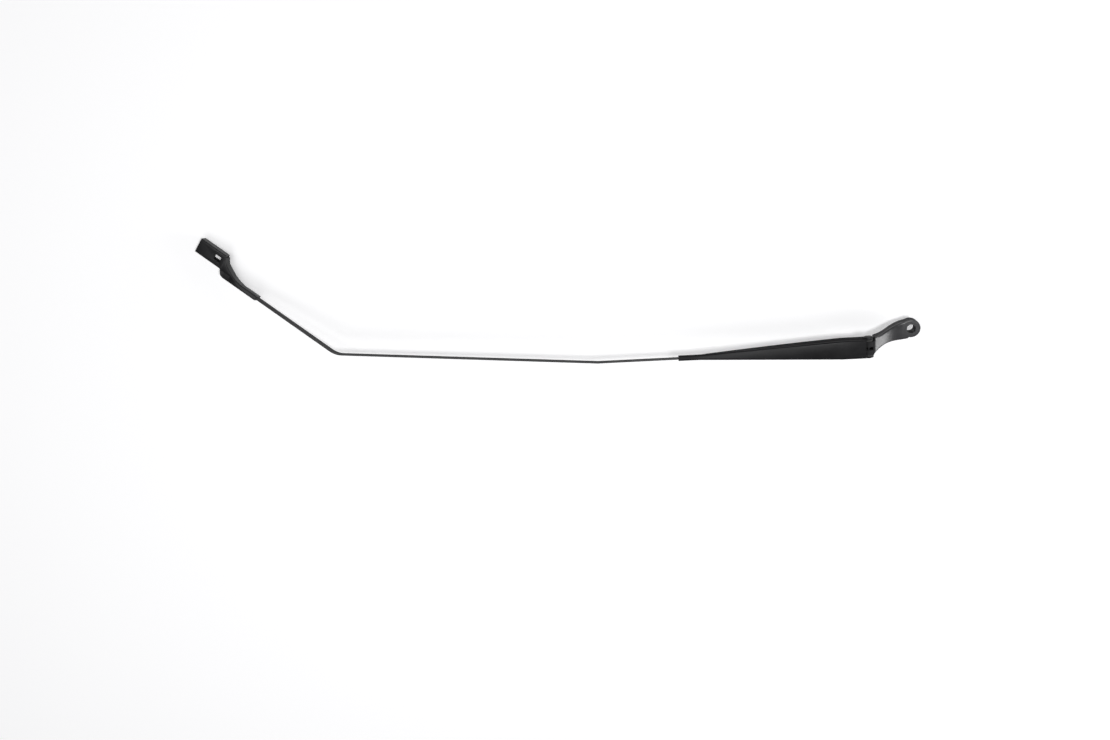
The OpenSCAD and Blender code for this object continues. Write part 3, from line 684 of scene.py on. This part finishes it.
# each step of a profile: how far out the face is drawn, then its scale
spun_end = ((0, 1.4), (0.5, 1), (0.35, 0.9), (0.2, 0.8), (0, 0.5), (-0.15, 0.85))
forged_head = ((0, 1.85), (1.3, 1), (0.5, 0.95), (0.35, 0.85), (0.2, 0.6), (0.05, 0.4))
for side, profile in ((-1, spun_end), (1, forged_head)):
    face_y = HINGE.y + side * PIN_LEN / 2
    pick(pin, "FACE", lambda middle, normal: side * normal.y > 0.9
         and side * (middle.y - HINGE.y) > PIN_LEN / 2 - 0.1)
    for out, grow in profile:
        pull(y=side * out)
        face_y += side * out
        bpy.ops.transform.resize(value=(grow, 1, grow), center_override=(HINGE.x, face_y, HINGE.z))
bpy.ops.mesh.select_all(action="SELECT")
bpy.ops.mesh.normals_make_consistent(inside=False)
bpy.ops.object.mode_set(mode="OBJECT")
settle(pin, in_place, 30)

# %% [markdown]
# ## The spring
# The tension spring is music wire wound in a close coil, with a half ring at each end that hooks
# into the link and the strip. The wire's middle line is a curve, and its round section is the
# curve's own bevel, which stays even on a coil.

# %% Spring
WIRE_R, COIL_R, COIL_TURNS, STEPS_A_TURN, HOOK_BEND = 1.0, 3.4, 24, 18, 1.5
LINK_PIN = Vector((-45.8, -17.4, 14.0))
PULL_ANGLE = math.radians(4.532)
HOLE_SIDE, PULL_LEN, LINK_LEN = 1.905, 100.815, 22.0
SPRING_LEN = math.hypot(PULL_LEN - LINK_LEN, HOLE_SIDE)
BODY_LEN = SPRING_LEN - 2 * (HOOK_BEND + COIL_R)


def hook_line():
    """Points of one hook, from its free end to the coil: along, across, up."""
    ring = [Vector((COIL_R - COIL_R * math.cos(a), COIL_R * math.sin(a), 0))
            for a in (math.radians(d) for d in range(-90, 91, 12))]
    rise = [Vector((COIL_R + HOOK_BEND * math.sin(a), COIL_R + 0.1, -HOOK_BEND * (1 - math.cos(a))))
            for a in (math.radians(d) for d in (30, 60))]
    return ring + rise


first_turn = math.asin(HOOK_BEND / COIL_R)
whole = 2 * math.pi * COIL_TURNS - 2 * first_turn
steps = COIL_TURNS * STEPS_A_TURN
coil = [Vector((HOOK_BEND + COIL_R + BODY_LEN * k / steps, COIL_R * math.cos(-first_turn - whole * k / steps),
                COIL_R * math.sin(-first_turn - whole * k / steps))) for k in range(steps + 1)]
rear = hook_line()
wire = rear + coil + [Vector((SPRING_LEN - p.x, p.y, -p.z)) for p in reversed(rear)]
line = bpy.data.curves.new("spring", "CURVE")
line.dimensions = "3D"
line.bevel_depth, line.bevel_resolution, line.use_fill_caps = WIRE_R, 3, True
spline = line.splines.new("POLY")
spline.points.add(len(wire) - 1)
for point, place in zip(spline.points, wire):
    point.co = (*place, 1)
spring = bpy.data.objects.new("spring", line)
bpy.context.scene.collection.objects.link(spring)
only(spring)
bpy.ops.object.convert(target="MESH")
spring = bpy.context.active_object
bpy.ops.object.mode_set(mode="EDIT")
bpy.ops.mesh.select_all(action="SELECT")
bpy.ops.mesh.remove_doubles(threshold=0.01)
bpy.ops.object.mode_set(mode="OBJECT")
spring_place = (Matrix.Translation(LINK_PIN) @ Matrix.Rotation(PULL_ANGLE, 4, "Y")
                @ Matrix.Translation((-LINK_LEN, 0, 0))
                @ Matrix.Rotation(math.pi + math.atan(HOLE_SIDE / (PULL_LEN - LINK_LEN)), 4, "Z"))
settle(spring, spring_place, 60)

# %% [markdown]
# ## Finishes
# Four effects are shared as node groups. Orange peel is the fine ripple of sprayed or dipped paint.
# Handling is the slow change from glossier to duller skin. Grain is the pitted face of a casting. These
# use Object coordinates, so a pattern is in metres and stays on its piece when the arm moves. Thin edges
# finds the sharp corners: on the head the paint is rubbed paler there, and on the clip a highlight is painted
# there.


# %% Node groups
def new_group(name, inputs, outputs):
    """A shader node group with float inputs (name: default) and named outputs."""
    group = bpy.data.node_groups.new(name, "ShaderNodeTree")
    for label, value in inputs.items():
        socket = group.interface.new_socket(label, in_out="INPUT", socket_type="NodeSocketFloat")
        socket.default_value = value
    for label in outputs:
        group.interface.new_socket(label, in_out="OUTPUT", socket_type="NodeSocketFloat")
    ends = group.nodes.new("NodeGroupInput"), group.nodes.new("NodeGroupOutput")
    return group, group.nodes, group.links, *ends


def noise(nodes, links, vector, scale, detail, rough=0.5):
    """A noise texture on a vector."""
    node = nodes.new("ShaderNodeTexNoise")
    node.inputs["Detail"].default_value = detail
    node.inputs["Roughness"].default_value = rough
    if isinstance(scale, (int, float)):
        node.inputs["Scale"].default_value = scale
    else:
        links.new(scale, node.inputs["Scale"])
    links.new(vector, node.inputs["Vector"])
    return node.outputs["Fac"]


def spread(nodes, links, value, low, high, to_low, to_high):
    """Maps a value from one range to another, and keeps it inside."""
    node = nodes.new("ShaderNodeMapRange")
    for label, number in zip(("From Min", "From Max", "To Min", "To Max"), (low, high, to_low, to_high)):
        if isinstance(number, (int, float)):
            node.inputs[label].default_value = number
        else:
            links.new(number, node.inputs[label])
    links.new(value, node.inputs["Value"])
    return node.outputs["Result"]


peel, nodes, links, enter, leave = new_group("orange_peel", {"Size mm": 1.2}, ["Height"])
place = nodes.new("ShaderNodeTexCoord").outputs["Object"]
per_metre = maths(nodes, links, "DIVIDE", 1000, enter.outputs["Size mm"])
ripple = noise(nodes, links, place, per_metre, 1)
fine = noise(nodes, links, place, maths(nodes, links, "MULTIPLY", per_metre, 3.1), 2)
links.new(maths(nodes, links, "ADD", ripple, maths(nodes, links, "MULTIPLY", fine, 0.25)),
          leave.inputs["Height"])

handling, nodes, links, enter, leave = new_group("handling", {"Dullest": 0.5, "Glossiest": 0.36},
                                                 ["Roughness", "Mask"])
place = nodes.new("ShaderNodeTexCoord").outputs["Object"]
broad = noise(nodes, links, place, 38, 3, 0.6)
smear = noise(nodes, links, place, 420, 2, 0.55)
both = maths(nodes, links, "ADD", broad, maths(nodes, links, "MULTIPLY", smear, 0.3))
mask = spread(nodes, links, both, 0.48, 0.82, 0, 1)
links.new(spread(nodes, links, mask, 0, 1, enter.outputs["Glossiest"], enter.outputs["Dullest"]),
          leave.inputs["Roughness"])
links.new(mask, leave.inputs["Mask"])

grain, nodes, links, enter, leave = new_group("cast_grain", {"Size mm": 0.45}, ["Height"])
place = nodes.new("ShaderNodeTexCoord").outputs["Object"]
per_metre = maths(nodes, links, "DIVIDE", 1000, enter.outputs["Size mm"])
sand = noise(nodes, links, place, per_metre, 4, 0.62)
coarse = noise(nodes, links, place, maths(nodes, links, "MULTIPLY", per_metre, 0.45), 2)
pits = spread(nodes, links, coarse, 0.3, 0.42, 1, 0)
links.new(maths(nodes, links, "SUBTRACT", sand, maths(nodes, links, "MULTIPLY", pits, 0.3)),
          leave.inputs["Height"])

edges, nodes, links, enter, leave = new_group("worn_and_highlit_edges", {"From": 0.52, "To": 0.6}, ["Mask"])
point = nodes.new("ShaderNodeNewGeometry").outputs["Pointiness"]
links.new(spread(nodes, links, point, enter.outputs["From"], enter.outputs["To"], 0, 1), leave.inputs["Mask"])
print("node groups:", [g.name for g in bpy.data.node_groups])


# %% Materials
ASLANT_FROM, ASLANT_TO = 0.6, 0.73
# x in metres where the head's painted shade near the hinge is full, and where it is gone
SHADE_FULL_TO, SHADE_NONE_FROM = -0.0435, -0.0415


def finish(name, metal=0.0):
    """An empty material with its Principled shader, nodes and links."""
    mat = bpy.data.materials.new(name)
    mat.use_nodes = True
    shader = mat.node_tree.nodes["Principled BSDF"]
    shader.inputs["Metallic"].default_value = metal
    return mat, shader, mat.node_tree.nodes, mat.node_tree.links


def use(nodes, group, **values):
    """Places a node group and sets its inputs."""
    node = nodes.new("ShaderNodeGroup")
    node.node_tree = group
    for label, value in values.items():
        node.inputs[label.replace("_", " ")].default_value = value
    return node


def tint(nodes, links, shader, mask, dark, pale):
    """Mixes two colours by a mask into the base colour."""
    mix = nodes.new("ShaderNodeMix")
    mix.data_type = "RGBA"
    mix.inputs["A"].default_value = (*dark, 1)
    mix.inputs["B"].default_value = (*pale, 1)
    links.new(mask, mix.inputs["Factor"])
    links.new(mix.outputs["Result"], shader.inputs["Base Color"])


def rippled(nodes, links, shader, height, depth, strength=1.0):
    """Bumps the surface by a height, in metres of depth."""
    bump = nodes.new("ShaderNodeBump")
    bump.inputs["Distance"].default_value = depth
    bump.inputs["Strength"].default_value = strength
    links.new(height, bump.inputs["Height"])
    links.new(bump.outputs["Normal"], shader.inputs["Normal"])


def duller_aslant(nodes, links, shader, roughness, dullest=1.0):
    """Roughness that rises where the surface is seen aslant, as on a matt black paint."""
    facing = nodes.new("ShaderNodeLayerWeight").outputs["Facing"]
    aslant = spread(nodes, links, facing, ASLANT_FROM, ASLANT_TO, 0.3, dullest)
    links.new(maths(nodes, links, "MAXIMUM", roughness, aslant), shader.inputs["Roughness"])


def satin_paint(name, dark, pale, gloss, dull, size, depth, level, dullest=1.0, edge_highlight=0.0):
    """Sprayed satin paint with orange peel; the last argument paints sharp edges paler, a painted highlight.
    """
    mat, shader, nodes, links = finish(name)
    shader.inputs["Specular IOR Level"].default_value = level
    skin = use(nodes, handling, Glossiest=gloss, Dullest=dull)
    duller_aslant(nodes, links, shader, skin.outputs["Roughness"], dullest)
    highlit_edges = maths(nodes, links, "MULTIPLY", use(nodes, edges, From=0.53, To=0.62).outputs["Mask"], edge_highlight)
    tint(nodes, links, shader, maths(nodes, links, "MAXIMUM", skin.outputs["Mask"], highlit_edges), dark, pale)
    rippled(nodes, links, shader, use(nodes, peel, Size_mm=size).outputs["Height"], depth, 0.5)
    return mat


arm_paint = satin_paint("arm_paint", (0.005, 0.005, 0.006), (0.011, 0.011, 0.012),
                        gloss=0.34, dull=0.44, size=1.4, depth=0.00012, level=0.15)
# the strip carries the channel's paint in a lighter colour: a painted sheen
strip_sheen_paint = satin_paint("strip_sheen_paint", (0.024, 0.024, 0.025), (0.036, 0.036, 0.037),
                          gloss=0.36, dull=0.5, size=1.1, depth=0.0001, level=0.35)
# the clip's sharp edges get a painted highlight
clip_paint = satin_paint("clip_paint", (0.004, 0.004, 0.005), (0.009, 0.009, 0.010),
                         gloss=0.3, dull=0.4, size=1.4, depth=0.00012, level=0.32, dullest=0.55, edge_highlight=1)

# near the hinge the casting's colour goes dark, a painted shade, and its paint is rougher
head_paint, shader, nodes, links = finish("head_paint")
skin = use(nodes, handling, Glossiest=0.3, Dullest=0.38)
apart = nodes.new("ShaderNodeSeparateXYZ")
links.new(nodes.new("ShaderNodeTexCoord").outputs["Object"], apart.inputs["Vector"])
unshaded = spread(nodes, links, apart.outputs["X"], SHADE_FULL_TO, SHADE_NONE_FROM, 0, 1)
rough_near_hinge = spread(nodes, links, unshaded, 0, 1, 0.9, 0.3)
duller_aslant(nodes, links, shader, maths(nodes, links, "MAXIMUM", skin.outputs["Roughness"], rough_near_hinge))
cast = use(nodes, grain, Size_mm=0.6)
rim = use(nodes, edges, From=0.53, To=0.62)
pale = maths(nodes, links, "MAXIMUM", maths(nodes, links, "MULTIPLY", skin.outputs["Mask"], 0.5),
             rim.outputs["Mask"])
# the paler tone is taken away near the hinge: painted shade
pale = maths(nodes, links, "MULTIPLY", spread(nodes, links, pale, 0, 1, 0.43, 1), unshaded)
tint(nodes, links, shader, pale, (0.007, 0.007, 0.008), (0.042, 0.042, 0.045))
rippled(nodes, links, shader, cast.outputs["Height"], 0.00018, 0.35)


def bare_steel(name, dark, pale, gloss, dull, size):
    """Plated or phosphated steel, duller in patches."""
    mat, shader, nodes, links = finish(name, 1.0)
    skin = use(nodes, handling, Glossiest=gloss, Dullest=dull)
    links.new(skin.outputs["Roughness"], shader.inputs["Roughness"])
    tint(nodes, links, shader, skin.outputs["Mask"], dark, pale)
    rippled(nodes, links, shader, use(nodes, grain, Size_mm=size).outputs["Height"], 0.00004, 0.3)
    return mat


pin_steel = bare_steel("pin_steel", (0.016, 0.016, 0.017), (0.034, 0.034, 0.036), 0.42, 0.56, 0.3)
link_steel = bare_steel("link_steel", (0.05, 0.05, 0.048), (0.09, 0.09, 0.086), 0.4, 0.55, 0.4)
wire_steel = bare_steel("wire_steel", (0.2, 0.2, 0.2), (0.32, 0.32, 0.33), 0.26, 0.42, 0.25)

bush_plastic, shader, nodes, links = finish("bush_plastic")
skin = use(nodes, handling, Glossiest=0.42, Dullest=0.56)
links.new(skin.outputs["Roughness"], shader.inputs["Roughness"])
tint(nodes, links, shader, skin.outputs["Mask"], (0.06, 0.06, 0.058), (0.09, 0.09, 0.086))
rippled(nodes, links, shader, use(nodes, peel, Size_mm=0.5).outputs["Height"], 0.00004, 0.3)
print("materials:", sorted(m.name for m in bpy.data.materials))

# %% [markdown]
# ## Putting it together
# Each new piece stands for its solid, and all but the spring ride on the solid's body. The solids that
# are right as they are, the bushes, the link and its pin, only get their finish and a fine bevel.

# %% Bodies and finishes
SAME_POINT, FINE_EDGE = 0.00001, 0.0002
for piece, body, node, slot, mat in ((strip, "arm", "arm_bar", "arm_paint", strip_sheen_paint),
                                     (channel, "arm", "retainer", "arm_paint", arm_paint),
                                     (clip, "arm", "blade_clip", "arm_paint", clip_paint),
                                     (head, "head", "mounting_head", "head_paint", head_paint),
                                     (pin, "arm", "hinge_pin", "plain_steel", pin_steel)):
    piece.data.materials.clear()
    piece.data.materials.append(mat)
    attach(piece, body)
    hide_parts(node)
spring.data.materials.append(wire_steel)
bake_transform(spring)
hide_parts("tension_spring")

for node, mat in (("near_bush", bush_plastic), ("far_bush", bush_plastic),
                  ("link_pin", pin_steel), ("spring_link", link_steel)):
    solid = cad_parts[node]
    solid.data.materials.clear()
    solid.data.materials.append(mat)
    weld = solid.modifiers.new("Weld", "WELD")
    weld.merge_threshold = SAME_POINT
    soften = solid.modifiers.new("Bevel", "BEVEL")
    soften.width, soften.segments = FINE_EDGE, 2
    soften.limit_method, soften.angle_limit = "ANGLE", math.radians(50)
print("replaced:", sorted(n for n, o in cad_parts.items() if o.hide_render))
